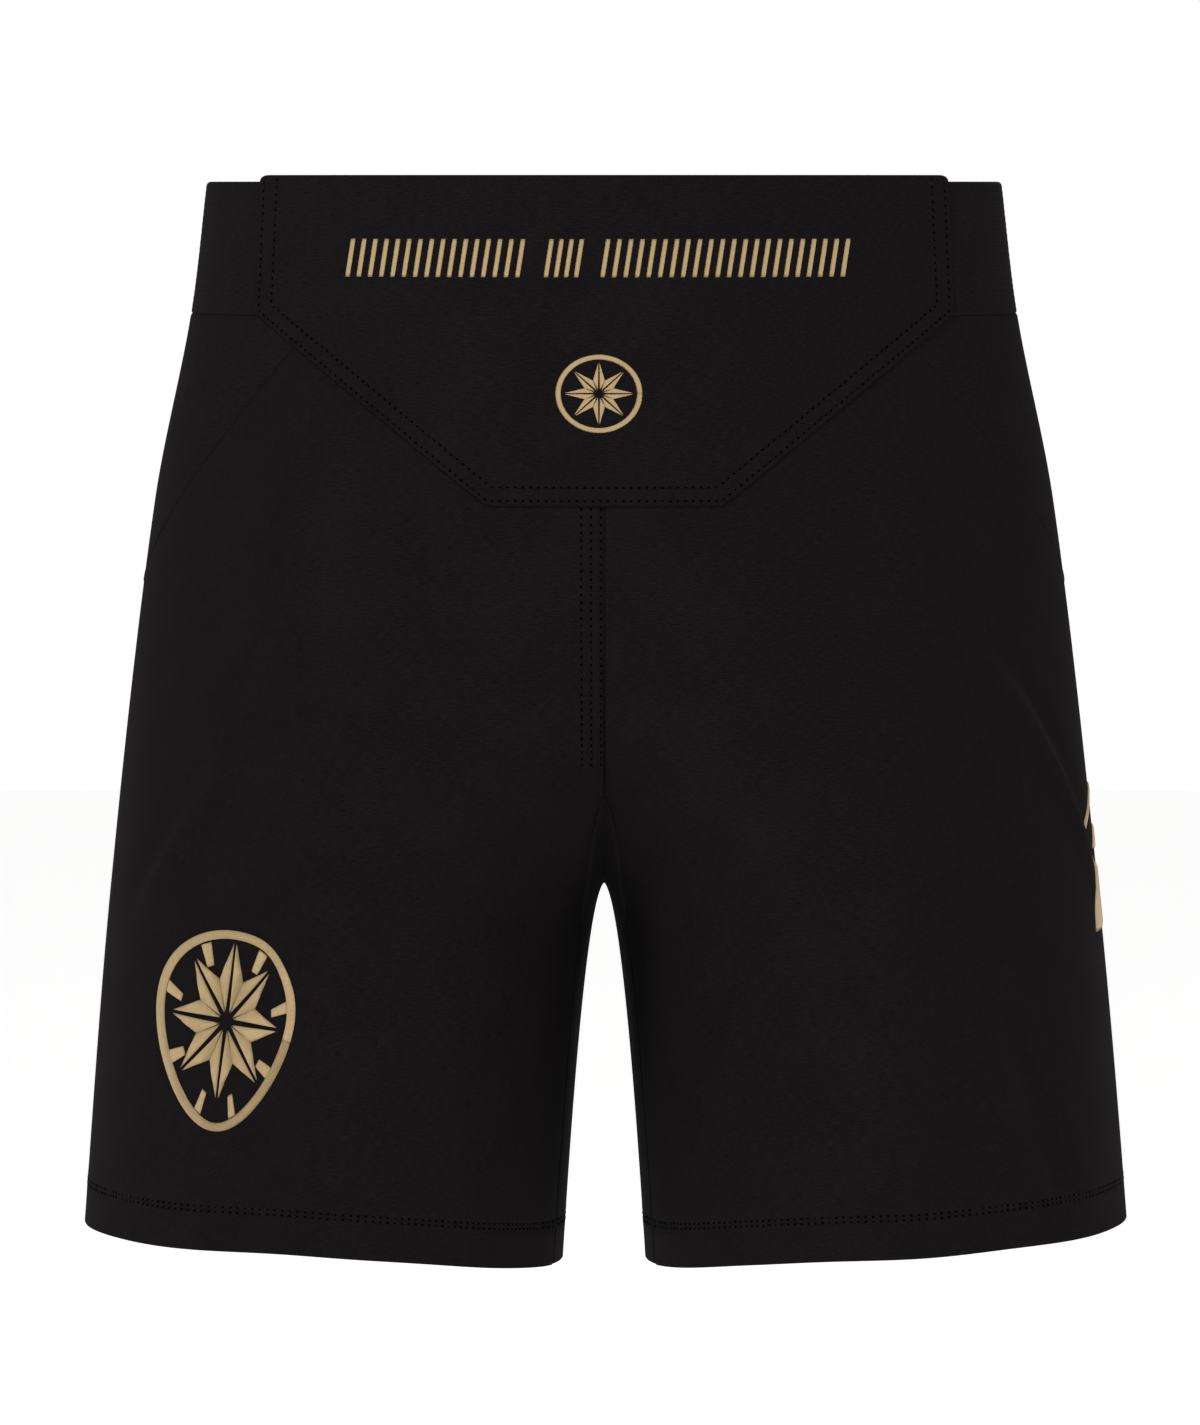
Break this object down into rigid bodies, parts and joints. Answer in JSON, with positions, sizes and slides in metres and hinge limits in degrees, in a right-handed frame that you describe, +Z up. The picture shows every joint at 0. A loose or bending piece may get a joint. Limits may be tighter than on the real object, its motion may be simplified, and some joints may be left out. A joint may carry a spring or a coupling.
{
  "type": "boxing shorts",
  "caption": "Loose boxing shorts standing open as worn: V-shaped back yoke, elastic side waistbands, crotch gusset and a hinged hook-and-loop fly flap.",
  "frame": {"origin": "centre of the waist opening, level with the top of the side waistbands", "axes": "+Z up out of the waist opening, +Y towards the fly, +X towards the wearer's right; the seat and its yoke face -Y"},
  "size_m": [0.4116, 0.2409, 0.4232],
  "materials": {
    "shell_cloth": "matt black stretch woven",
    "band_cloth": "matt black, gathered into fine ribs over elastic",
    "lining_cloth": "matt black plain woven facing",
    "elastic_web": "ribbed woven elastic",
    "hook_tape": "moulded hooks",
    "loop_tape": "brushed loops",
    "gold_print": "flat gold transfer print",
    "gold_thread": "raised satin-stitch gold thread",
    "label_cloth": "woven satin label, blank"
  },
  "bodies": {
    "shorts": {"back_waistband_interlining": "lining_cloth", "back_waistband_facing": "lining_cloth", "side_waistband_right": "band_cloth", "waist_elastic_right": "elastic_web", "side_waistband_facing_right": "lining_cloth", "front_waistband_right": "shell_cloth", "front_waistband_facing_right": "lining_cloth", "side_waistband_left": "band_cloth", "waist_elastic_left": "elastic_web", "side_waistband_facing_left": "lining_cloth", "front_waistband_left": "shell_cloth", "front_waistband_facing_left": "lining_cloth", "waist_label": "label_cloth", "back_panel_right": "shell_cloth", "front_panel_right": "shell_cloth", "hip_panel_right": "shell_cloth", "back_panel_left": "shell_cloth", "front_panel_left": "shell_cloth", "hip_panel_left": "shell_cloth", "crotch_gusset": "shell_cloth", "back_yoke": "shell_cloth", "fly_shield": "lining_cloth", "waist_loop_tape": "loop_tape", "fly_loop_tape": "loop_tape", "fly_flap_sewn_margin": "shell_cloth", "yoke_bar_print": "gold_print", "yoke_emblem": "gold_print", "leg_emblem": "gold_thread", "side_emblem": "gold_thread"},
    "flap": {"fly_flap": "shell_cloth", "fly_flap_facing": "lining_cloth", "waist_hook_tape": "hook_tape", "fly_hook_tape": "hook_tape"}
  },
  "joints": [
    {"name": "fly_flap_hinge", "type": "hinge", "parent": "shorts", "child": "flap", "pos_m": [-0.0588, 0.0996, 0], "axis": [-0.0015, -0.0523, 0.9986], "range_deg": [0, 150]}
  ]
}
